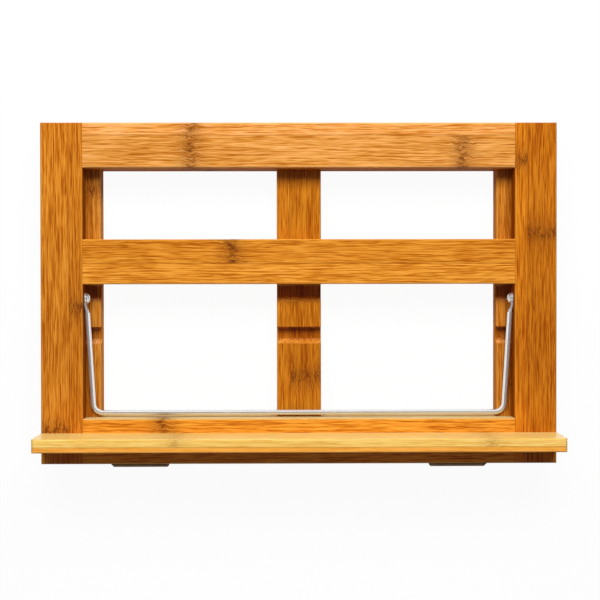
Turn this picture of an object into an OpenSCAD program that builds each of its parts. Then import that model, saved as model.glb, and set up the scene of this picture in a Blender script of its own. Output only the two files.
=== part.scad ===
// Folding bookstand rack of bamboo slats, lying on its back and folded flat.
// A base frame with three notched struts lies on the table. An easel frame with a ledge lies on it,
// joined to it by two butt hinges along the near edge. A wire bail nests in the easel's lower opening:
// with the easel raised, it swings back and its bar drops into a notch of each strut.
// X runs along the ledge, Y from the hinge edge to the far edge, Z up from the table.

/* [Frames] */
// Width of the easel frame and its ledge
easel_w = 345; // [330:1:370]
// Length of both frames, from the hinge edge to the far edge
frame_h = 228; // [220:1:250]
// Thickness of every slat
slat_t = 15; // [14:0.5:18]
// Width of every rail
rail_w = 30; // [26:1:33]
// Width of the two easel stiles
stile_w = 28; // [24:1:32]
// Width of the three base struts
strut_w = 30; // [26:1:34]
// How far the base stands in from each side of the easel
base_inset = 8; // [4:0.1:12]
// Height of the easel's middle rail above the hinge edge
middle_rail_rise = 120.2; // [116:0.1:130]
// Chamfer on the edges of the slats
edge_ease = 0.6; // [0.4:0.1:1.2]
// Gap between the two folded frames
fold_gap = 0.2; // [0.1:0.05:0.5]

/* [Ledge] */
// How far the ledge stands out from the easel
ledge_d = 36; // [28:1:42]
// Thickness of the ledge
ledge_t = 8.8; // [8:0.1:11]
// Height of the ledge's underside above the hinge edge
ledge_rise = 11.9; // [9:0.1:13]
// Corner radius of the ledge's front
ledge_corner_r = 2.5; // [1:0.5:6]

/* [Notches] */
// Number of notches in each strut
notch_count = 3; // [1:1:4]
// Distance of the first notch's steep wall from the hinge edge
notch_start = 91.3; // [84:0.1:96]
// Distance from notch to notch
notch_pitch = 28.6; // [24:0.1:31]
// Length of a notch along its strut
notch_len = 11.6; // [11:0.1:14]
// Depth of a notch
notch_depth = 6; // [5:0.5:9]
// Radius of the cove that rises from a notch's floor to the hinge side
cove_r = 4.5; // [2:0.1:4.9]
// Radius at the foot of a notch's steep wall
notch_floor_r = 1.6; // [0.8:0.1:2]

/* [Bail] */
// Diameter of the bail's wire
wire_d = 3.5; // [3:0.1:4]
// Distance of the bail's pivot below the middle rail
pivot_drop = 9.5; // [7:0.1:12]
// Gap between the folded bail's bar and the easel's bottom rail
bar_clearance = 1.5; // [1:0.1:6]
// Gap between the folded bail's bar and the struts below it
bar_rest_gap = 0.3; // [0.2:0.05:1]
// How far each arm of the bail closes in towards the bar
arm_taper = 3.5; // [0:0.5:6]
// Centre-line radius of the bail's corners
bail_bend_r = 6; // [4:0.5:12]
// Diameter of the bail's flattened ends
lug_d = 7.1; // [6.5:0.1:8]
// Thickness of the bail's flattened ends
lug_t = 1.5; // [1.2:0.1:1.8]
// How far each arm stands in from its flattened end
neck_jog = 1.1; // [1:0.1:2.5]
// Length from the pivot to the end of the flattened neck
neck_len = 9.5; // [8:0.5:12]

/* [Hinges] */
// Length of a hinge barrel
hinge_len = 36.6; // [32:0.2:42]
// Gap along the hinge edge between a hinge and the base's side strut
hinge_gap = 8.5; // [7.7:0.1:20]
// Outer diameter of the hinge barrel
barrel_d = 4; // [3.6:0.1:5]
// Diameter of the hinge pin
hinge_pin_d = 2; // [1.6:0.1:2.4]
// Thickness of a hinge leaf
leaf_t = 1; // [0.8:0.1:1.2]
// Reach of a hinge leaf from the pin's axis
leaf_reach = 12; // [11:0.5:13]
// Number of knuckles in a hinge barrel
knuckle_count = 5; // [3:2:7]

/* [Fasteners] */
// Diameter of the dowels in the frames' joints
dowel_d = 6; // [5:0.5:7]
// Length of the dowels in the frames' joints
dowel_len = 26; // [20:1:28]
// Distance between the two dowels of a joint
dowel_pitch = 14; // [10:1:16]
// Number of screws that hold the ledge
ledge_screw_count = 4; // [2:1:6]
// Shank diameter of the ledge screws
ledge_screw_d = 4; // [3:0.1:4.5]
// Length of the ledge screws
ledge_screw_len = 34; // [26:1:38]
// Head diameter of the ledge screws
ledge_screw_head_d = 7.6; // [6.5:0.1:8.5]
// Distance of the outer ledge screws from the stiles
ledge_screw_inset = 24.5; // [20:0.5:40]
// Shank diameter of the hinge screws
hinge_screw_d = 2.6; // [2:0.1:3]
// Length of the hinge screws
hinge_screw_len = 10; // [8:0.5:10.5]
// Head diameter of the hinge screws
hinge_screw_head_d = 4.4; // [4:0.1:5]
// Distance of the hinge screws from the ends of the barrel
hinge_screw_inset = 8; // [7.5:0.1:10]
// Shank diameter of the bail's pivot screws
pivot_screw_d = 3; // [2.6:0.1:3.4]
// Grip length of the pivot screws in the stiles
pivot_screw_grip = 14; // [10:1:18]
// Head diameter of the pivot screws
pivot_head_d = 6.4; // [6:0.1:7.4]
// Head height of the pivot screws
pivot_head_h = 2.3; // [1.8:0.1:2.6]

/* [Clearances] */
// Radial clearance of a pin or pivot that turns
running_clearance = 0.05; // [0.02:0.01:0.08]
// Radial clearance of dowels and screws in their holes
hole_clearance = 0.05; // [0.02:0.01:0.1]
// Depth left free beyond the end of a dowel
dowel_end_gap = 0.5; // [0.2:0.1:1]
// Gap between parts that turn past each other side by side
side_gap = 0.15; // [0.1:0.05:0.3]

/* [Hidden] */
$fn = 64;
cut = 1; // how far a cutter reaches past a face

// Frame heights and edges. The box round the whole stand is centred on X = 0 and Y = 0.
edge_y = barrel_d / 2 - frame_h / 2;
far_y = edge_y + frame_h;
easel_z = slat_t + fold_gap;
easel_top_z = easel_z + slat_t;
easel_mid_z = easel_z + slat_t / 2;

// Half-width to the inner face of the stiles and of the side struts
stile_face_x = easel_w / 2 - stile_w;
base_face_x = easel_w / 2 - base_inset - strut_w;

// Lower edge of each rail
hinge_rail_y = edge_y;
middle_rail_y = edge_y + middle_rail_rise;
far_rail_y = far_y - rail_w;

// Hinge axis, halfway between the folded frames and one barrel radius below their edges
axis_y = edge_y - barrel_d / 2;
axis_z = slat_t + fold_gap / 2;
hinge_x = base_face_x - hinge_gap - hinge_len / 2;
knuckle_pitch = (hinge_len + side_gap) / knuckle_count;
knuckle_len = knuckle_pitch - side_gap;
leaf_foot = barrel_d / 2 + 2 * side_gap;
leaf_screw_z = (leaf_foot + leaf_reach) / 2;
leaf_screw_x = hinge_len / 2 - hinge_screw_inset;
bridge_foot = barrel_d / 10; // where a knuckle's web leaves the barrel
pin_head_d = (hinge_pin_d + barrel_d) / 2;
pin_head_h = 1;

// Folded bail: from its pivot it leans towards the base until the bar is just above the struts
pivot_y = middle_rail_y - pivot_drop;
bail_reach = pivot_y - (hinge_rail_y + rail_w) - bar_clearance - wire_d / 2;
bail_lean = easel_mid_z - slat_t - bar_rest_gap - wire_d / 2;
bail_len = norm([bail_reach, bail_lean]);
bail_tilt = atan2(bail_lean, bail_reach);

// Flattened ends and arms of the bail, as half-widths
lug_x = stile_face_x - side_gap - lug_t;
lug_mid_x = lug_x + lug_t / 2;
arm_top_x = lug_mid_x - neck_jog;
arm_foot_x = arm_top_x - arm_taper;
neck_end = neck_len + wire_d / 2; // the neck runs on into the round arm
head_x = lug_x - side_gap;
shoulder_len = wire_d / 2; // slimmer stub at the top of each arm
bend_d = wire_d - 0.04; // the wire is drawn a touch slimmer in its corners
bend_lap = 1.5; // degrees by which a corner runs on into the straight wire

// The bail in its own plane, with the pivot at the origin and the arms towards -Y
bail_top = [arm_top_x, -neck_len, 0];
bail_corner = [arm_foot_x, -bail_len, 0];
arm_up = (bail_top - bail_corner) / norm(bail_top - bail_corner);
bend_turn = 90 - atan2(arm_up.x, arm_up.y); // the arm leans by its taper
bend_run = bail_bend_r * tan(bend_turn / 2);

ledge_mid_y = edge_y + ledge_rise + ledge_t / 2;
screw_tip = 0.3; // share of a screw's length that its point takes

bamboo = "#d0802b";
bamboo_pale = "#f2b04e";
dowel_wood = "#e0b47a";
chrome = "#d8dadc";
brass = "#a8803c";
steel = "#c4c6c8";

// ---- Placing and shapes that repeat ----

// The right-hand side as it is, the left-hand side mirrored
module on_side(side) mirror([side < 0 ? 1 : 0, 0, 0]) children();

// A flat section of (Y, Z) drawn out along X, centred on X = 0
module along_x(len) translate([-len / 2, 0, 0]) rotate([90, 0, 90]) linear_extrude(len) children();

// A flat section of (X, Z) drawn out along Y from Y = 0
module along_y(len) translate([0, len, 0]) rotate([90, 0, 0]) linear_extrude(len) children();

// Section of a slat with its four corners chamfered
module eased_section(w, t)
    polygon([
        [edge_ease, 0], [w - edge_ease, 0], [w, edge_ease], [w, t - edge_ease],
        [w - edge_ease, t], [edge_ease, t], [0, t - edge_ease], [0, edge_ease]
    ]);

// A slat that lies along X, with plain ends that butt against its neighbours
module cross_slat(len, y, z)
    translate([0, y, z]) along_x(len) eased_section(rail_w, slat_t);

// A slat that lies along Y and is drawn from a side outline: its long edges are chamfered
module long_slat(x, w, y, len, z)
    intersection() {
        translate([x - w / 2, y, z]) along_y(len) eased_section(w, slat_t);
        translate([x, y, z]) along_x(w) children();
    }

// A rod of diameter d from a to b
module rod(a, b, d) {
    v = b - a;
    translate(a) rotate([0, acos(v.z / norm(v)), atan2(v.y, v.x)]) cylinder(h = norm(v), d = d);
}

// Cross recess in the head of a screw, cut down into +Z from the head's face
module cross_recess(size)
    for (turn = [0, 90])
        rotate(turn) translate([-size / 2, -size / 8, -cut]) cube([size, size / 4, cut + size / 4]);

// Countersunk wood screw: face of the head at Z = 0, point towards +Z
module wood_screw(d, len, head_d) {
    head_h = (head_d - d) / 2;
    tip_len = screw_tip * len;
    difference() {
        union() {
            cylinder(h = head_h, d1 = head_d, d2 = d);
            cylinder(h = len - tip_len, d = d);
            translate([0, 0, len - tip_len]) cylinder(h = tip_len, d1 = d, d2 = d / 4);
        }
        cross_recess(0.55 * head_d);
    }
}

// Hole for that screw, with its countersink
module screw_hole(d, len, head_d) {
    head_h = (head_d - d) / 2;
    widen = 2 * hole_clearance;
    translate([0, 0, -cut]) cylinder(h = len + hole_clearance + cut, d = d + widen);
    translate([0, 0, -hole_clearance]) cylinder(h = head_h, d1 = head_d + widen, d2 = d + widen);
    translate([0, 0, -cut]) cylinder(h = cut - hole_clearance, d = head_d + widen);
}

// ---- Dowelled joints ----

// The two dowels of a joint, centred on a butt face at the origin and lying along X
module dowel_pair(d, len)
    for (s = [-1, 1])
        translate([0, s * dowel_pitch / 2, 0]) rotate([0, 90, 0]) cylinder(h = len, d = d, center = true);

// Where the rails of the easel meet its stiles
module at_easel_joints()
    for (side = [-1, 1], y = [hinge_rail_y, middle_rail_y, far_rail_y])
        translate([side * stile_face_x, y + rail_w / 2, easel_mid_z]) children();

// Where the rails of the base meet its side struts
module at_base_side_joints()
    for (side = [-1, 1], y = [hinge_rail_y, far_rail_y])
        translate([side * base_face_x, y + rail_w / 2, slat_t / 2]) children();

// Where the centre strut meets the rails of the base
module at_centre_joints()
    for (y = [hinge_rail_y + rail_w, far_rail_y])
        translate([0, y, slat_t / 2]) rotate(90) children();

module dowel() dowel_pair(dowel_d, dowel_len);
module dowel_hole() dowel_pair(dowel_d + 2 * hole_clearance, dowel_len + 2 * dowel_end_gap);

// ---- Easel frame ----

module easel_stile(side)
    color(bamboo)
    difference() {
        long_slat(side * (easel_w - stile_w) / 2, stile_w, edge_y, frame_h, easel_z)
            eased_section(frame_h, slat_t);
        at_easel_joints() dowel_hole();
        on_side(side) at_pivot() pivot_screw_bore();
    }

module easel_rail(y)
    color(bamboo)
    difference() {
        cross_slat(2 * stile_face_x, y, easel_z);
        at_easel_joints() dowel_hole();
    }

module easel_bottom_rail()
    color(bamboo)
    difference() {
        easel_rail(hinge_rail_y);
        at_ledge_screws() screw_hole(ledge_screw_d, ledge_screw_len, ledge_screw_head_d);
        for (side = [-1, 1]) on_side(side) at_hinge() at_leaf_screws() leaf_screw_hole();
    }

module easel_dowels() color(dowel_wood) at_easel_joints() dowel();

// ---- Ledge ----

// Plan of the ledge: square where it meets the easel, rounded at the front corners
module ledge_plan() {
    front_z = easel_top_z + ledge_d - ledge_corner_r;
    half_w = easel_w / 2 - ledge_corner_r;
    translate([-easel_w / 2, easel_top_z]) square([easel_w, ledge_d - ledge_corner_r]);
    translate([-half_w, easel_top_z]) square([2 * half_w, ledge_d]);
    for (side = [-1, 1]) translate([side * half_w, front_z]) circle(r = ledge_corner_r);
}

// Section of the ledge: its two front edges are chamfered
module ledge_section()
    polygon([
        [0, 0], [ledge_t, 0], [ledge_t, ledge_d - edge_ease], [ledge_t - edge_ease, ledge_d],
        [edge_ease, ledge_d], [0, ledge_d - edge_ease]
    ]);

module ledge()
    color(bamboo_pale)
    difference() {
        intersection() {
            translate([0, edge_y + ledge_rise, 0]) along_y(ledge_t) ledge_plan();
            translate([0, edge_y + ledge_rise, easel_top_z]) along_x(easel_w) ledge_section();
        }
        at_ledge_screws() screw_hole(ledge_screw_d, ledge_screw_len, ledge_screw_head_d);
    }

// The screws come through the easel's bottom rail from behind, in one evenly spaced row
module at_ledge_screws() {
    row = stile_face_x - ledge_screw_inset;
    for (i = [0 : ledge_screw_count - 1])
        translate([-row + 2 * row * i / (ledge_screw_count - 1), ledge_mid_y, easel_z]) children();
}

module ledge_screws()
    color(steel) at_ledge_screws() wood_screw(ledge_screw_d, ledge_screw_len, ledge_screw_head_d);

// ---- Base frame ----

// Side outline of a strut of length len that starts y0 from the hinge edge, with its notches
module strut_outline(len, y0)
    difference() {
        eased_section(len, slat_t);
        for (i = [0 : notch_count - 1]) translate([notch_start + i * notch_pitch - y0, 0]) notch_outline();
    }

// One notch: steep wall at 0, rounded at its foot, and a cove up to a sharp edge on the hinge side
module notch_outline() {
    floor_z = slat_t - notch_depth;
    difference() {
        translate([-notch_len, floor_z]) square([notch_len, notch_depth + cut]);
        difference() {
            translate([-notch_len, floor_z]) square(cove_r);
            translate([cove_r - notch_len, floor_z + cove_r]) circle(r = cove_r);
        }
        difference() {
            translate([-notch_floor_r, floor_z]) square(notch_floor_r);
            translate([-notch_floor_r, floor_z + notch_floor_r]) circle(r = notch_floor_r);
        }
    }
}

module base_side_strut(side)
    color(bamboo)
    difference() {
        long_slat(side * (base_face_x + strut_w / 2), strut_w, edge_y, frame_h, 0)
            strut_outline(frame_h, 0);
        at_base_side_joints() dowel_hole();
    }

module base_centre_strut()
    color(bamboo)
    difference() {
        long_slat(0, strut_w, hinge_rail_y + rail_w, frame_h - 2 * rail_w, 0)
            strut_outline(frame_h - 2 * rail_w, rail_w);
        at_centre_joints() dowel_hole();
    }

module base_rail(y)
    color(bamboo)
    difference() {
        cross_slat(2 * base_face_x, y, 0);
        at_base_side_joints() dowel_hole();
        at_centre_joints() dowel_hole();
    }

module base_hinge_rail()
    color(bamboo)
    difference() {
        base_rail(hinge_rail_y);
        for (side = [-1, 1]) on_side(side) at_hinge() flip_z() at_leaf_screws() leaf_screw_hole();
    }

module base_dowels()
    color(dowel_wood) {
        at_base_side_joints() dowel();
        at_centre_joints() dowel();
    }

// ---- Hinges ----

// Origin on the pin's axis at the middle of the right-hand barrel; the easel's leaf points to +Z
module at_hinge() translate([hinge_x, axis_y, axis_z]) children();
module flip_z() mirror([0, 0, 1]) children();

// The screws of a leaf, driven towards +Y
module at_leaf_screws()
    for (s = [-1, 1])
        translate([s * leaf_screw_x, barrel_d / 2 - leaf_t, leaf_screw_z]) rotate([-90, 0, 0]) children();

module leaf_screw() wood_screw(hinge_screw_d, hinge_screw_len, hinge_screw_head_d);
module leaf_screw_hole() screw_hole(hinge_screw_d, hinge_screw_len, hinge_screw_head_d);

// One leaf with every second knuckle, starting at the given one
module hinge_leaf(first)
    difference() {
        union() {
            translate([-hinge_len / 2, barrel_d / 2 - leaf_t, leaf_foot])
                cube([hinge_len, leaf_t, leaf_reach - leaf_foot]);
            for (i = [first : 2 : knuckle_count - 1])
                translate([i * knuckle_pitch - hinge_len / 2, 0, 0]) {
                    rotate([0, 90, 0]) cylinder(h = knuckle_len, d = barrel_d);
                    translate([0, barrel_d / 2 - leaf_t, bridge_foot])
                        cube([knuckle_len, leaf_t, leaf_foot - bridge_foot]);
                }
        }
        rotate([0, 90, 0])
            cylinder(h = hinge_len + 2 * cut, d = hinge_pin_d + 2 * running_clearance, center = true);
        at_leaf_screws() leaf_screw_hole();
    }

module base_hinge_leaf(side) color(brass) on_side(side) at_hinge() flip_z() hinge_leaf(0);
module easel_hinge_leaf(side) color(brass) on_side(side) at_hinge() hinge_leaf(1);

// Pin with a domed head at each end of the barrel
module hinge_pin(side)
    color(brass) on_side(side) at_hinge() {
        rotate([0, 90, 0]) cylinder(h = hinge_len + 2 * side_gap, d = hinge_pin_d, center = true);
        for (turn = [90, -90])
            rotate([0, turn, 0]) translate([0, 0, hinge_len / 2 + side_gap])
                domed_disc(pin_head_d, pin_head_h, pin_head_h / 4);
    }

// Disc of diameter d with a straight rim, domed up to height h
module domed_disc(d, h, rim) {
    dome_h = h - rim;
    r = (d * d / 4 + dome_h * dome_h) / (2 * dome_h);
    rotate_extrude() intersection() {
        square([d / 2, h]);
        translate([0, h - r]) circle(r = r);
    }
}

// Disc of diameter d and thickness h whose rim is rounded to radius r
module round_rim_disc(d, h, r)
    rotate_extrude() {
        square([d / 2 - r, h]);
        translate([0, r]) square([d / 2, h - 2 * r]);
        for (z = [r, h - r]) translate([d / 2 - r, z]) circle(r = r);
    }

module base_hinge_screws()
    color(brass) for (side = [-1, 1]) on_side(side) at_hinge() flip_z() at_leaf_screws() leaf_screw();

module easel_hinge_screws()
    color(brass) for (side = [-1, 1]) on_side(side) at_hinge() at_leaf_screws() leaf_screw();

// ---- Bail ----

module at_pivot() translate([0, pivot_y, easel_mid_z]) children();

// Half-width of the flattened neck's middle at a distance y below the pivot: a smooth jog inwards
function neck_x(y) =
    let (t = min(max((y - lug_d / 2) / (neck_len - lug_d / 2), 0), 1))
    lug_mid_x - neck_jog * t * t * (3 - 2 * t);

// Flattened and drilled end of the wire, with the neck that leads down to the round arm
module bail_end()
    difference() {
        union() {
            translate([lug_x, 0, 0]) rotate([0, 90, 0]) round_rim_disc(lug_d, lug_t, 0.3 * lug_t);
            bail_neck();
        }
        translate([lug_x - cut, 0, 0]) rotate([0, 90, 0])
            cylinder(h = lug_t + 2 * cut, d = pivot_screw_d + 2 * running_clearance);
    }

// The neck's side outline follows the jog, and its width narrows from the lug to the wire
module bail_neck() {
    steps = [for (i = [0 : 14]) i * neck_end / 14];
    outer = [for (y = steps) [neck_x(y) + lug_t / 2, -y]];
    inner = [for (i = [14 : -1 : 0]) [neck_x(steps[i]) - lug_t / 2, -steps[i]]];
    intersection() {
        translate([0, 0, -lug_d / 2]) linear_extrude(lug_d) polygon(concat(outer, inner));
        translate([stile_face_x, 0, 0]) along_x(stile_face_x)
            polygon([
                [0, -0.42 * lug_d], [0, 0.42 * lug_d],
                [-neck_end, 0.42 * wire_d], [-neck_end, -0.42 * wire_d]
            ]);
    }
}

module bail_arm() {
    rod(bail_corner + bend_run * arm_up, bail_top, wire_d);
    rod(bail_top - arm_up, bail_top + shoulder_len * arm_up, 0.6 * wire_d);
    translate([bail_corner.x - bend_run, bail_bend_r - bail_len, 0]) rotate(-90 - bend_lap)
        rotate_extrude(angle = bend_turn + 2 * bend_lap) translate([bail_bend_r, 0]) circle(d = bend_d);
}

module bail_bar() {
    half = [bail_corner.x - bend_run, 0, 0];
    translate([0, -bail_len, 0]) rod(-half, half, wire_d);
}

module support_bail()
    color(chrome)
    at_pivot() rotate([bail_tilt, 0, 0]) {
        bail_bar();
        for (side = [-1, 1]) on_side(side) {
            bail_end();
            bail_arm();
        }
    }

// Pan-head screw through a flattened end of the bail into the stile
module bail_screw(side)
    color(steel) on_side(side) at_pivot()
    difference() {
        union() {
            translate([head_x, 0, 0]) rotate([0, 90, 0])
                cylinder(h = stile_face_x - head_x + pivot_screw_grip, d = pivot_screw_d);
            translate([head_x, 0, 0]) rotate([0, -90, 0])
                domed_disc(pivot_head_d, pivot_head_h, pivot_head_h / 3);
        }
        translate([head_x - pivot_head_h, 0, 0]) rotate([0, 90, 0]) cross_recess(0.5 * pivot_head_d);
    }

module pivot_screw_bore()
    translate([stile_face_x - cut, 0, 0]) rotate([0, 90, 0])
        cylinder(h = pivot_screw_grip + cut + hole_clearance, d = pivot_screw_d + 2 * hole_clearance);

easel_stile(-1);  // easel_left_stile
easel_stile(1);  // easel_right_stile
easel_rail(far_rail_y);  // easel_top_rail
easel_rail(middle_rail_y);  // easel_middle_rail
easel_bottom_rail();
easel_dowels();
ledge();
ledge_screws();
base_side_strut(-1);  // base_left_strut
base_centre_strut();
base_side_strut(1);  // base_right_strut
base_hinge_rail();
base_rail(far_rail_y);  // base_far_rail
base_dowels();
base_hinge_leaf(-1);  // base_hinge_leaf_left
base_hinge_leaf(1);  // base_hinge_leaf_right
easel_hinge_leaf(-1);  // easel_hinge_leaf_left
easel_hinge_leaf(1);  // easel_hinge_leaf_right
hinge_pin(-1);  // hinge_pin_left
hinge_pin(1);  // hinge_pin_right
base_hinge_screws();
easel_hinge_screws();
support_bail();
bail_screw(-1);  // bail_screw_left
bail_screw(1);  // bail_screw_right
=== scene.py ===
"""Folding bamboo bookstand, lying folded on its back: finishes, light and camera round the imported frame.

The frame's X runs along the ledge, Y from the hinge edge to the far edge and Z up from the table.
Lengths are metres, or millimetres where a name ends in _mm. Inside a material, every place and size
is in millimetres.
"""

import math

import bpy
import numpy as np
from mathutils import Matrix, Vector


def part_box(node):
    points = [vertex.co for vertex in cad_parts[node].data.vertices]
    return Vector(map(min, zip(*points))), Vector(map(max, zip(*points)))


MM = 0.001

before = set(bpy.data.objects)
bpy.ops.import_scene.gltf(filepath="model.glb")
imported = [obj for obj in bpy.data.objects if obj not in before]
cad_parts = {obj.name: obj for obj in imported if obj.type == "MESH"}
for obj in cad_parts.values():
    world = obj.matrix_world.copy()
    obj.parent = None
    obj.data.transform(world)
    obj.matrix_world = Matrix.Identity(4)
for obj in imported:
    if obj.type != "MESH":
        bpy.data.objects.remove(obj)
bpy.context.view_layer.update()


# ---- Wiring of shader nodes ----


class Wiring:
    """Adds shader nodes to a tree. Each method takes outputs or plain numbers and returns an output."""

    def __init__(self, tree):
        self.tree = tree

    def put(self, value, socket):
        """Links an output to the socket, or writes a plain value on it."""
        if isinstance(value, bpy.types.NodeSocket):
            self.tree.links.new(value, socket)
        else:
            socket.default_value = value

    def node(self, kind, **settings):
        """A new node with these settings."""
        made = self.tree.nodes.new(kind)
        for name, value in settings.items():
            setattr(made, name, value)
        return made

    def maths(self, operation, *values):
        made = self.node("ShaderNodeMath", operation=operation)
        for value, socket in zip(values, made.inputs):
            self.put(value, socket)
        return made.outputs[0]

    def sum(self, *values):
        total = values[0]
        for value in values[1:]:
            total = self.maths("ADD", total, value)
        return total

    def minus(self, first, second):
        return self.maths("SUBTRACT", first, second)

    def product(self, *values):
        total = values[0]
        for value in values[1:]:
            total = self.maths("MULTIPLY", total, value)
        return total

    def remap(self, value, low, high, to_low=0.0, to_high=1.0, smooth=False):
        """Carries low..high to to_low..to_high and holds the ends."""
        made = self.node("ShaderNodeMapRange", interpolation_type="SMOOTHSTEP" if smooth else "LINEAR")
        for number, socket in zip((value, low, high, to_low, to_high), made.inputs):
            self.put(number, socket)
        return made.outputs[0]

    def bell(self, distance, width):
        """exp(-(distance / width) squared): 1 in the middle, fading on both sides."""
        share = self.maths("DIVIDE", distance, width)
        return self.maths("EXPONENT", self.product(share, share, -1.0))

    def vector(self, x, y, z):
        made = self.node("ShaderNodeCombineXYZ")
        for value, socket in zip((x, y, z), made.inputs):
            self.put(value, socket)
        return made.outputs[0]

    def place(self):
        """X, Y and Z of a point of the piece, in millimetres."""
        split = self.node("ShaderNodeSeparateXYZ")
        self.put(self.node("ShaderNodeTexCoord").outputs["Object"], split.inputs[0])
        return [self.product(output, 1.0 / MM) for output in split.outputs]

    def noise(self, place, sizes, detail=2.0, roughness=0.5):
        """Noise about 0.5, whose lumps have these sizes along the three coordinates of the place."""
        made = self.node("ShaderNodeTexNoise")
        scaled = [self.product(value, 1 / size) for value, size in zip(place, sizes)]
        self.put(self.vector(*scaled), made.inputs["Vector"])
        made.inputs["Scale"].default_value = 1.0
        made.inputs["Detail"].default_value = detail
        made.inputs["Roughness"].default_value = roughness
        return made.outputs["Fac"]

    def blend(self, share, first, second, kind="MIX"):
        """Colour between first (share 0) and second (share 1), or another way to mix them."""
        made = self.node("ShaderNodeMix", data_type="RGBA", blend_type=kind, clamp_factor=True)
        self.put(share, made.inputs[0])
        for value, socket in zip((first, second), made.inputs[6:8]):
            self.put(value, socket)
        return made.outputs[2]

    def tinted(self, colour, factors):
        """The colour with each channel times its factor."""
        return self.blend(1.0, colour, factors, kind="MULTIPLY")

    def seen(self):
        """1 where the camera sees a surface, straight, mirrored or through glass, and else 0."""
        rays = self.node("ShaderNodeLightPath").outputs
        mirrored = self.maths("MAXIMUM", rays["Is Glossy Ray"], rays["Is Transmission Ray"])
        return self.maths("MAXIMUM", rays["Is Camera Ray"], mirrored)


def new_material(name):
    """A material with one Principled shader, and the wiring of its tree."""
    material = bpy.data.materials.new(name)
    material.use_nodes = True
    wiring = Wiring(material.node_tree)
    shader = material.node_tree.nodes["Principled BSDF"]
    return material, wiring, shader


def bump(w, height, depth_mm, shader):
    """Height 0..1 as relief of that depth."""
    made = w.node("ShaderNodeBump")
    made.inputs["Strength"].default_value = 1.0
    made.inputs["Distance"].default_value = depth_mm * MM
    w.put(height, made.inputs["Height"])
    w.put(made.outputs["Normal"], shader.inputs["Normal"])


def linear(red, green, blue):
    """A colour given in screen values, 0 to 255, as the shader wants it."""
    levels = np.array([red, green, blue]) / 255.0
    low = levels / 12.92
    high = ((levels + 0.055) / 1.055) ** 2.4
    return (*np.where(levels <= 0.04045, low, high).tolist(), 1.0)


def dress(node, material):
    """Gives a CAD node its material."""
    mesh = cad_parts[node].data
    mesh.materials.clear()
    mesh.materials.append(material)


# ---- Bamboo: sizes in this section are millimetres ----

# Factors on a tone, for red, green, blue and alpha. Dark streaks are redder than the tone
DARK_STREAK = (0.62, 0.44, 0.14, 1.0)
LIGHT_STREAK = (1.24, 1.48, 2.80, 1.0)
# Painted highlight for the chamfers of the long edges
EDGE_HIGHLIGHT = (1.30, 1.70, 3.50, 1.0)
# Factors for the side faces of a board. Two of them paint light and one paints shade, as marked
PLAIN_SIDE = (1.0, 1.0, 1.0, 1.0)
# Painted shade for the stiles' inner sides
SIDE_PAINTED_SHADE = (0.58, 0.46, 0.34, 1.0)
BRIGHT_SIDE = (1.20, 1.25, 1.20, 1.0)
# Painted light for the rails' faces that are turned towards the lamps
SIDE_PAINTED_LIGHT = (1.18, 2.40, 14.0, 1.0)
# Painted light for the ledge's back, which is turned towards the lamps
LEDGE_BACK_PAINTED_LIGHT = (1.0, 1.14, 1.45, 1.0)
# Factors for a notch: painted shade on its floor, and painted light towards its rim, which faces the lamps
NOTCH_FLOOR_SHADE = (0.70, 0.58, 0.40, 1.0)
NOTCH_RIM_LIGHT = (1.45, 1.75, 5.00, 1.0)
# Heights over the strut's lower face between which a notch turns from painted shade to painted light
NOTCH_SHADE_TO_LIGHT = (9.05, 10.0)

# On the chamfer of a long edge, a point's distances from side and face add up to CHAMFER.
# The painted highlight on the long edges fades out while they add up to the range set below
CHAMFER = 0.6
EDGE_HIGHLIGHT_FADE = (CHAMFER + 0.1, CHAMFER + 0.7)
EDGE_HIGHLIGHT_SHARE = 0.5
# A point is on a side face once it is this far from the wide faces, and this near to the side
FLANK_FROM_FACE = (0.3, 1.0)
FLANK_FROM_SIDE = (0.1, 0.4)
# A point is on a notch or an end once it is this far from all four long faces
INSIDE_FROM_FACE = (0.15, 0.5)
INSIDE_FROM_SIDE = (0.3, 0.6)

# A ply's thickness, and the glue, which shows more between strips than between plies
PLY = 5.0
GLUE_BROWN = linear(120, 62, 14)
GLUE_SHARE = 0.45
STRIP_GLUE = 0.28
PLY_GLUE = 0.18
PLY_GLUE_SHARE = 0.7

# Steps that set the noise of strips, plies and boards apart
STRIP_STEP = 71.3
PLY_STEP = 37.9
BOARD_STEP = 13.7

# A culm node: a column of dark strokes in a wider haze. A width is where the bell falls to 1/e
KNOT_BROWN = linear(116, 57, 13)
KNOT_COLUMN = 5.0
KNOT_HAZE = 9.0
KNOT_HAZE_SHARE = 0.4
# The noise that makes it wavy: the size of its lumps, and how far its whole range reaches along
KNOT_WAVE = 6.25
KNOT_SWAY = 12.0

# The grain wanders across the board: how far, over the whole range of a noise, and that noise's lumps
DRIFT = 2.4
DRIFT_LUMP = (70.0, 30.0)
RUFFLE = 5.0
RUFFLE_LUMP = (5.0, 4.0)

# Layers of the grain: the length and width of their lumps, and their shares in the shade
CLOUD = (60.0, 12.0)
STREAK = (46.0, 1.15)
FIBRE = (19.0, 0.5)
FLECK = (7.0, 0.4)
STROKE = (4.0, 0.9)
CLOUD_SHARE = 0.10
STREAK_SHARE = 0.37
FIBRE_SHARE = 0.34
FLECK_SHARE = 0.19
# Range of a noise that is spread over 0..1: strokes are cut sharper than the rest
SPREAD = (0.3, 0.7)
STROKE_SPREAD = (0.42, 0.56)
# Half the range of the shade, at full contrast, that runs from the darkest to the lightest streak
SHADE_HALF = 0.17
# How much calmer the grain is on a side face, where the strips are cut
CUT_CALM = 0.6

# Satin varnish, duller on dark open fibres, and thin and dull on cut faces
DARK_ROUGHNESS = 0.33
LIGHT_ROUGHNESS = 0.25
CUT_ROUGHNESS = 0.3
SPECULAR = 0.22
CUT_SPECULAR = 0.02

# Depth of the relief, and how much of it streaks, fibres, a culm node's strokes and glue make
RELIEF = 0.012
GRAIN_RISE = 0.5
STROKE_SINK = -0.8
GLUE_SINK = -0.5


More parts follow.
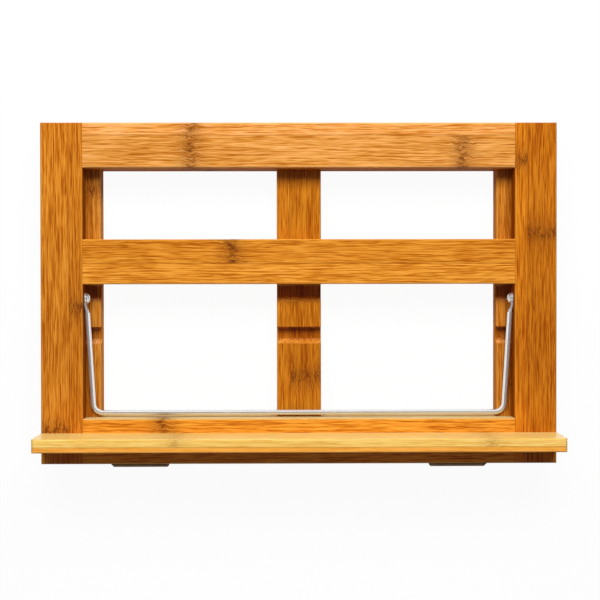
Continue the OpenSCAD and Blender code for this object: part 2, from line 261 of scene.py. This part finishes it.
class Board:
    """Where a point of a board lies, as outputs of its material's tree.

    along, across: its place along the grain and across it.
    depth: its height over the board's lower face.
    high: 1 on the half of the board that is higher across the grain, and 0 on the other.
    from_side, from_face: its distance from the nearer side face, and from the nearer wide face.
    """

    def __init__(self, w, node, grain):
        lower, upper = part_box(node)
        x, y, self.z = w.place()
        self.along, self.across = (x, y) if grain == "x" else (y, x)
        axis = 1 if grain == "x" else 0
        low_end = lower[axis] / MM
        high_end = upper[axis] / MM
        thickness = (upper[2] - lower[2]) / MM
        self.depth = w.minus(self.z, lower[2] / MM)
        self.high = w.maths("GREATER_THAN", self.across, (low_end + high_end) / 2)
        self.from_side = w.maths("MINIMUM", w.minus(self.across, low_end), w.minus(high_end, self.across))
        self.from_face = w.maths("MINIMUM", self.depth, w.minus(thickness, self.depth))


def strips_and_plies(w, board, tones, glue_lines, plies):
    """The tone of the strip that a point lies in, how near the point is to glue, and its noise's offset."""
    tone = tones[0]
    strip = 0.0
    ply = 0.0
    glue = 0.0
    for line, next_tone in zip(glue_lines, tones[1:]):
        above = w.maths("GREATER_THAN", board.across, line)
        strip = w.sum(strip, above)
        tone = w.blend(above, tone, next_tone)
        glue = w.maths("MAXIMUM", glue, w.bell(w.minus(board.across, line), STRIP_GLUE))
    for level in plies:
        ply = w.sum(ply, w.maths("GREATER_THAN", board.depth, level))
        seam = w.bell(w.minus(board.depth, level), PLY_GLUE)
        glue = w.maths("MAXIMUM", glue, w.product(seam, PLY_GLUE_SHARE))
    offset = w.sum(w.product(strip, STRIP_STEP), w.product(ply, PLY_STEP))
    return tone, glue, offset


def culm_nodes(w, board, knots, offset):
    """How near a point is to a culm node: to its wavy column, and to the haze on both sides of it."""
    wave = w.noise(
        (board.across, offset, board.z), (KNOT_WAVE, 1.0, KNOT_WAVE), detail=3.0, roughness=0.7
    )
    sway = w.product(w.minus(wave, 0.5), KNOT_SWAY)
    column = 0.0
    haze = 0.0
    for along, across_from, across_to in knots:
        here = w.product(
            w.maths("GREATER_THAN", board.across, across_from),
            w.maths("LESS_THAN", board.across, across_to),
        )
        away = w.sum(board.along, -along, sway)
        column = w.maths("MAXIMUM", column, w.product(here, w.bell(away, KNOT_COLUMN)))
        haze = w.maths("MAXIMUM", haze, w.product(here, w.bell(away, KNOT_HAZE)))
    return column, haze


def grain_layers(w, board, haze, offset):
    """Cloud, streak, fibre, fleck and stroke, each 0..1. They wander together, and more in the haze."""
    leader = (board.along, board.across, offset)
    drift = w.noise(leader, (*DRIFT_LUMP, 1.0), detail=1.0)
    ruffle = w.noise(leader, (*RUFFLE_LUMP, 1.0), detail=1.0)
    shift = w.sum(
        w.product(w.minus(drift, 0.5), DRIFT),
        w.product(haze, w.minus(ruffle, 0.5), RUFFLE),
    )
    wandered = w.sum(board.across, shift)
    place = (w.sum(board.along, offset), w.sum(wandered, offset), board.depth)

    def layer(size, spread, **settings):
        length, width = size
        return w.remap(w.noise(place, (length, width, width), **settings), *spread)

    return (
        layer(CLOUD, SPREAD, detail=1.0),
        layer(STREAK, SPREAD, detail=2.0, roughness=0.6),
        layer(FIBRE, SPREAD, detail=1.0),
        layer(FLECK, SPREAD, detail=0.0),
        layer(STROKE, STROKE_SPREAD, detail=2.0, roughness=0.6),
    )


def bamboo(node, name, grain, tones, glue_lines=(), knots=(), seed=0.0, contrast=1.0,
           low_side=PLAIN_SIDE, high_side=PLAIN_SIDE, upright=False, notched=False):
    """Dresses a board in varnished bamboo, pressed from flat strips in three plies.

    node: the CAD node that is the board. Its box says where the board's faces are.
    grain: the axis that the fibres follow, "x" or "y".
    tones: the tone of each strip of the face, from low to high across the grain.
    glue_lines: where two strips meet, across the grain.
    knots: (along, from, to) of each culm node, a dark wavy band across the strips from..to.
    low_side, high_side: factors on the tone for the side face at each end across the grain. Some of them
    are painted shade and painted light.
    upright: the board stands on its edge. It shows no plies and no painted edge highlight, and its sides
    are no cut faces.
    notched: the board has notches in its upper face. They get painted shade low down and painted light high
    up, by height, and so do its ends.

    Along the grain a streak is about 40 times as long as it is wide. Each strip and each ply reads
    the noise at its own offset, so streaks stop at a glue line. At a culm node, the grain wavers,
    short dark strokes stand in a wavy column, and a brown haze spreads to both sides of it.
    """
    material, w, shader = new_material(name)
    board = Board(w, node, grain)
    plies = () if upright else (PLY, 2 * PLY)
    tone, glue, offset = strips_and_plies(w, board, tones, glue_lines, plies)
    offset = w.sum(offset, seed * BOARD_STEP)

    flank = w.product(
        w.remap(board.from_face, *FLANK_FROM_FACE),
        w.remap(board.from_side, *FLANK_FROM_SIDE, 1.0, 0.0),
    )
    cut = 0.0 if upright else flank
    # Side faces take their factors: painted shade on the stiles' inner sides, painted light on faces turned
    # towards the lamps
    side = w.blend(board.high, low_side, high_side)
    tone = w.blend(flank, tone, w.tinted(tone, side))
    if notched:
        inside = w.product(
            w.remap(board.from_side, *INSIDE_FROM_SIDE),
            w.remap(board.from_face, *INSIDE_FROM_FACE),
        )
        # Painted shade low in a notch, and painted light towards its rim
        pale = w.remap(board.depth, *NOTCH_SHADE_TO_LIGHT)
        tint = w.blend(pale, w.tinted(tone, NOTCH_FLOOR_SHADE), w.tinted(tone, NOTCH_RIM_LIGHT))
        tone = w.blend(inside, tone, tint)

    column, haze = culm_nodes(w, board, knots, offset)
    cloud, streak, fibre, fleck, stroke = grain_layers(w, board, haze, offset)

    # Shade 0 is the darkest streak and 1 the lightest
    shade = w.sum(
        w.product(streak, STREAK_SHARE),
        w.product(fibre, FIBRE_SHARE),
        w.product(fleck, FLECK_SHARE),
        w.product(cloud, CLOUD_SHARE),
    )
    half = SHADE_HALF / contrast
    shade = w.remap(shade, 0.5 - half, 0.5 + half)
    shade = w.sum(shade, w.product(cut, w.minus(0.5, shade), CUT_CALM))
    darker = w.blend(w.remap(shade, 0.0, 0.5), w.tinted(tone, DARK_STREAK), tone)
    colour = w.blend(w.remap(shade, 0.5, 1.0), darker, w.tinted(tone, LIGHT_STREAK))

    # Painted highlight along the chamfers of the long edges
    edge = w.remap(w.sum(board.from_side, board.from_face), *EDGE_HIGHLIGHT_FADE, 1.0, 0.0)
    edge_highlight_share = 0.0 if upright else EDGE_HIGHLIGHT_SHARE
    colour = w.blend(w.product(edge, edge_highlight_share), colour, w.tinted(tone, EDGE_HIGHLIGHT))

    # Where the grain is calm, so is a culm node, though a little less
    knot = w.maths("MAXIMUM", w.product(column, stroke), w.product(haze, KNOT_HAZE_SHARE))
    knot_share = min(1.0, contrast + 0.1)
    colour = w.blend(w.product(knot, knot_share), colour, KNOT_BROWN)
    colour = w.blend(w.product(glue, GLUE_SHARE), colour, GLUE_BROWN)
    w.put(colour, shader.inputs["Base Color"])

    roughness = w.remap(shade, 0.0, 1.0, DARK_ROUGHNESS, LIGHT_ROUGHNESS)
    w.put(w.sum(roughness, w.product(cut, CUT_ROUGHNESS)), shader.inputs["Roughness"])
    specular = SPECULAR if upright else w.remap(cut, 0.0, 1.0, SPECULAR, CUT_SPECULAR)
    w.put(specular, shader.inputs["Specular IOR Level"])
    height = w.sum(
        w.product(streak, GRAIN_RISE),
        w.product(fibre, GRAIN_RISE),
        w.product(column, stroke, STROKE_SINK),
        w.product(glue, GLUE_SINK),
    )
    bump(w, height, RELIEF, shader)
    dress(node, material)


bamboo(
    "easel_left_stile", "bamboo left stile", "y",
    tones=[linear(202, 120, 26), linear(194, 112, 21)],
    glue_lines=[-153.6],
    knots=[(-89.5, -180, -153.6), (-7, -153.6, -140)],
    seed=1.0,
    # Its inner side gets painted shade
    high_side=SIDE_PAINTED_SHADE,
)
bamboo(
    "easel_right_stile", "bamboo right stile", "y",
    tones=[linear(200, 113, 16), linear(187, 104, 13)],
    glue_lines=[153.0],
    knots=[(91, 140, 153), (43, 153, 180)],
    seed=2.0,
    # Its inner side gets painted shade
    low_side=SIDE_PAINTED_SHADE,
)
bamboo(
    "easel_top_rail", "bamboo top rail", "x",
    tones=[linear(216, 143, 58), linear(229, 152, 69)],
    glue_lines=[107.7],
    knots=[(-72.5, 80, 120), (109.5, 80, 107.7)],
    seed=3.0,
    contrast=0.8,
)
bamboo(
    "easel_middle_rail", "bamboo middle rail", "x",
    tones=[linear(219, 137, 36), linear(210, 128, 30)],
    glue_lines=[22.0],
    knots=[(-45, 22, 40)],
    seed=4.0,
)
bamboo(
    "easel_bottom_rail", "bamboo bottom rail", "x",
    tones=[linear(219, 138, 35)],
    knots=[(-91.5, -100, -80)],
    seed=5.0,
    # Its face towards the lamps gets painted light
    high_side=SIDE_PAINTED_LIGHT,
)
bamboo(
    "base_left_strut", "bamboo left strut", "y",
    tones=[linear(186, 110, 24), linear(195, 121, 33)],
    glue_lines=[-140.5],
    knots=[(71.5, -165, -132)],
    seed=6.0,
    low_side=BRIGHT_SIDE,
    high_side=BRIGHT_SIDE,
    notched=True,
)
bamboo(
    "base_centre_strut", "bamboo centre strut", "y",
    tones=[linear(191, 112, 18), linear(185, 107, 15)],
    glue_lines=[-6.0],
    knots=[(-54.5, -6, 15)],
    seed=7.0,
    low_side=BRIGHT_SIDE,
    high_side=BRIGHT_SIDE,
    notched=True,
)
bamboo(
    "base_right_strut", "bamboo right strut", "y",
    tones=[linear(192, 115, 27), linear(182, 107, 23)],
    glue_lines=[141.0],
    knots=[(-60, 141, 165)],
    seed=8.0,
    low_side=BRIGHT_SIDE,
    high_side=BRIGHT_SIDE,
    notched=True,
)
bamboo(
    "base_hinge_rail", "bamboo hinge rail", "x",
    tones=[linear(206, 124, 32), linear(198, 116, 26)],
    glue_lines=[-95.0],
    knots=[(30, -120, -95)],
    seed=9.0,
    # Its face towards the lamps gets painted light
    high_side=SIDE_PAINTED_LIGHT,
)
bamboo(
    "base_far_rail", "bamboo far rail", "x",
    tones=[linear(198, 118, 28), linear(206, 126, 34)],
    glue_lines=[99.0],
    knots=[(-60, 80, 120)],
    seed=10.0,
)
bamboo(
    "ledge", "bamboo ledge", "x",
    tones=[linear(253, 174, 67), linear(255, 206, 104)],
    glue_lines=[-96.5],
    knots=[(-80, -96.5, -90), (124, -96.5, -90)],
    seed=11.0,
    contrast=0.3,
    # Its back, turned towards the lamps, gets painted light
    high_side=LEDGE_BACK_PAINTED_LIGHT,
    upright=True,
)


# ---- Metals and the dowels' wood ----

# Range of a noise that is spread over 0..1, for metals and dowels
MATERIAL_SPREAD = (0.35, 0.65)

TARNISH_BROWN = (0.06, 0.04, 0.02, 1.0)
CLOUD_LUMP_MM = 5.0
# A scratch is this many times as long along Y as it is wide
SCRATCH_STRETCH = 10.0
SCRATCH_DEPTH_MM = 0.006
# Wear is half cloud and half scratch. Over this range a metal turns from bright to dull
WEAR_SPREAD = (0.2, 0.8)

PORE_FACTORS = (0.7, 0.62, 0.5, 1.0)
PORE_SIZE_MM = (4.0, 0.4, 0.4)
PORE_DEPTH_MM = 0.05
PORE_ROUGHNESS = 0.75
WOOD_ROUGHNESS = 0.6


def metal(name, colour, dull, bright, scratch_mm, tarnish=0.0, haze=0.0):
    """Metal whose roughness runs from bright to dull with fine scratches and a slow cloud.

    tarnish: how far the cloud carries the colour to a dark brown. haze: share of pale matt plating.
    """
    material, w, shader = new_material(name)
    shader.inputs["Metallic"].default_value = 1.0 - haze
    place = w.place()
    cloud = w.remap(w.noise(place, [CLOUD_LUMP_MM] * 3, detail=4.0), *MATERIAL_SPREAD)
    scratch = w.noise(place, (scratch_mm, SCRATCH_STRETCH * scratch_mm, scratch_mm), detail=2.0)
    wear = w.sum(w.product(cloud, 0.5), w.product(scratch, 0.5))
    w.put(w.remap(wear, *WEAR_SPREAD, bright, dull), shader.inputs["Roughness"])
    if tarnish:
        colour = w.blend(w.product(cloud, tarnish), colour, TARNISH_BROWN)
    w.put(colour, shader.inputs["Base Color"])
    bump(w, scratch, SCRATCH_DEPTH_MM, shader)
    return material


def plain_wood(name, colour):
    """Unvarnished dowel wood with short pores along X. A pore is darker and rougher than the rest."""
    material, w, shader = new_material(name)
    solid = w.remap(w.noise(w.place(), PORE_SIZE_MM, detail=3.0), *MATERIAL_SPREAD)
    w.put(w.blend(solid, w.tinted(colour, PORE_FACTORS), colour), shader.inputs["Base Color"])
    w.put(w.remap(solid, 0.0, 1.0, PORE_ROUGHNESS, WOOD_ROUGHNESS), shader.inputs["Roughness"])
    bump(w, solid, PORE_DEPTH_MM, shader)
    return material


chrome = metal(
    "chrome of the wire", (0.86, 0.87, 0.88, 1.0), dull=0.2, bright=0.08, scratch_mm=0.25, haze=0.28
)
screw_chrome = metal(
    "chrome of the pivot screws", (0.8, 0.81, 0.82, 1.0), dull=0.26, bright=0.12, scratch_mm=0.2, haze=0.15
)
zinc = metal("zinc of the wood screws", (0.55, 0.56, 0.56, 1.0), dull=0.45, bright=0.28, scratch_mm=0.2)
# The hinges' brass is darkened almost to black: painted shade for their place under the ledge
shaded_brass = metal(
    "brass of the hinges", (0.11, 0.07, 0.035, 1.0), dull=0.6, bright=0.45, scratch_mm=0.3, tarnish=0.5
)
dowel_wood = plain_wood("dowel wood", linear(222, 186, 138))

dress("support_bail", chrome)
for side in ("left", "right"):
    dress(f"bail_screw_{side}", screw_chrome)
    for part in ("base_hinge_leaf", "easel_hinge_leaf", "hinge_pin"):
        dress(f"{part}_{side}", shaded_brass)
for part in ("base_hinge_screws", "easel_hinge_screws"):
    dress(part, shaded_brass)
dress("ledge_screws", zinc)
for part in ("easel_dowels", "base_dowels"):
    dress(part, dowel_wood)


# ---- Floor, light and camera ----

FLOOR_HALF = 6.0
# The base lies this far over the floor, so that their faces don't flicker in one plane
FLOOR_DROP_MM = 0.1
FLOOR_SEEN = (0.95, 0.95, 0.95, 1.0)
FLOOR_LIT = (0.5, 0.5, 0.5, 1.0)
SHADOW_SHARE = 0.05

# The world's strengths, and the height of a direction, 0 level and 1 straight up, where they change
CEILING = 0.06
CEILING_EDGE = (0.85, 0.91)
FILL_HIGH = 0.27
FILL_LOW = 0.02
FILL_EDGE = (0.6, 0.85)

KEY_WATTS = 5.88
KEY_DISTANCE = 1.0
KEY_WIDTH = 0.4
KEY_HEIGHT = 0.42
KEY_TILT_DEG = 37.6
KEY_TURN_DEG = 22.0

LENS_MM = 78.04
SENSOR_MM = 36.0
CAMERA_PLACE_MM = (-7.82, 8.62, 899.27)
CAMERA_TURN_DEG = (-0.729, -0.556, -0.079)


def floor():
    """White table. The camera sees it white, darkened by a share of the object's shadow."""
    material, w, shader = new_material("white table")
    shader.inputs["Roughness"].default_value = 0.9
    shader.inputs["Specular IOR Level"].default_value = 0.0
    seen = w.seen()
    w.put(w.blend(seen, FLOOR_LIT, FLOOR_SEEN), shader.inputs["Base Color"])
    white = w.node("ShaderNodeEmission")
    white.inputs["Strength"].default_value = 1.0
    mixed = w.node("ShaderNodeMixShader")
    w.put(w.product(seen, 1.0 - SHADOW_SHARE), mixed.inputs[0])
    w.put(shader.outputs[0], mixed.inputs[1])
    w.put(white.outputs[0], mixed.inputs[2])
    w.put(mixed.outputs[0], material.node_tree.nodes["Material Output"].inputs["Surface"])
    corners = np.array([[-1, -1, 0], [1, -1, 0], [1, 1, 0], [-1, 1, 0]], float) * FLOOR_HALF
    corners[:, 2] = -FLOOR_DROP_MM * MM
    mesh = bpy.data.meshes.new("floor")
    mesh.from_pydata(corners.tolist(), [], [(0, 1, 2, 3)])
    mesh.materials.append(material)
    made = bpy.data.objects.new("floor", mesh)
    bpy.context.scene.collection.objects.link(made)
    return made


def softbox(name, turn_deg):
    """Area light aimed at the stand, tilted from straight above towards +Y and then turned about Z."""
    data = bpy.data.lights.new(name, "AREA")
    data.shape = "RECTANGLE"
    data.size = KEY_WIDTH
    data.size_y = KEY_HEIGHT
    data.energy = KEY_WATTS
    made = bpy.data.objects.new(name, data)
    tilt = math.radians(KEY_TILT_DEG)
    turn = math.radians(turn_deg)
    made.location = (
        -KEY_DISTANCE * math.sin(tilt) * math.sin(turn),
        KEY_DISTANCE * math.sin(tilt) * math.cos(turn),
        KEY_DISTANCE * math.cos(tilt),
    )
    made.rotation_euler = (-tilt, 0.0, turn)
    made.visible_camera = False
    made.visible_glossy = False
    bpy.context.scene.collection.objects.link(made)


def studio():
    """Matt surfaces are filled from above. Metal and gloss see a dim ceiling with white all round it."""
    world = bpy.data.worlds.new("studio")
    bpy.context.scene.world = world
    world.use_nodes = True
    w = Wiring(world.node_tree)
    back = world.node_tree.nodes["Background"]
    back.inputs["Color"].default_value = (1.0, 1.0, 1.0, 1.0)
    direction = w.node("ShaderNodeSeparateXYZ")
    w.put(w.node("ShaderNodeTexCoord").outputs["Generated"], direction.inputs[0])
    up = direction.outputs[2]
    room = w.remap(up, *CEILING_EDGE, 1.0, CEILING, smooth=True)
    fill = w.remap(up, *FILL_EDGE, FILL_LOW, FILL_HIGH, smooth=True)
    seen = w.seen()
    strength = w.sum(w.product(seen, room), w.product(w.minus(1.0, seen), fill))
    w.put(strength, back.inputs["Strength"])


def set_up_camera():
    """Camera over the stand, with the lens, place and turn that were fitted to the photograph's edges."""
    data = bpy.data.cameras.new("camera")
    data.sensor_width = SENSOR_MM
    data.lens = LENS_MM
    data.clip_end = 50.0
    made = bpy.data.objects.new("camera", data)
    made.location = [value * MM for value in CAMERA_PLACE_MM]
    made.rotation_euler = [math.radians(angle) for angle in CAMERA_TURN_DEG]
    bpy.context.scene.collection.objects.link(made)
    bpy.context.scene.camera = made


floor()
studio()
softbox("key left", KEY_TURN_DEG)
softbox("key right", -KEY_TURN_DEG)
set_up_camera()
bpy.context.scene.view_settings.view_transform = "Standard"
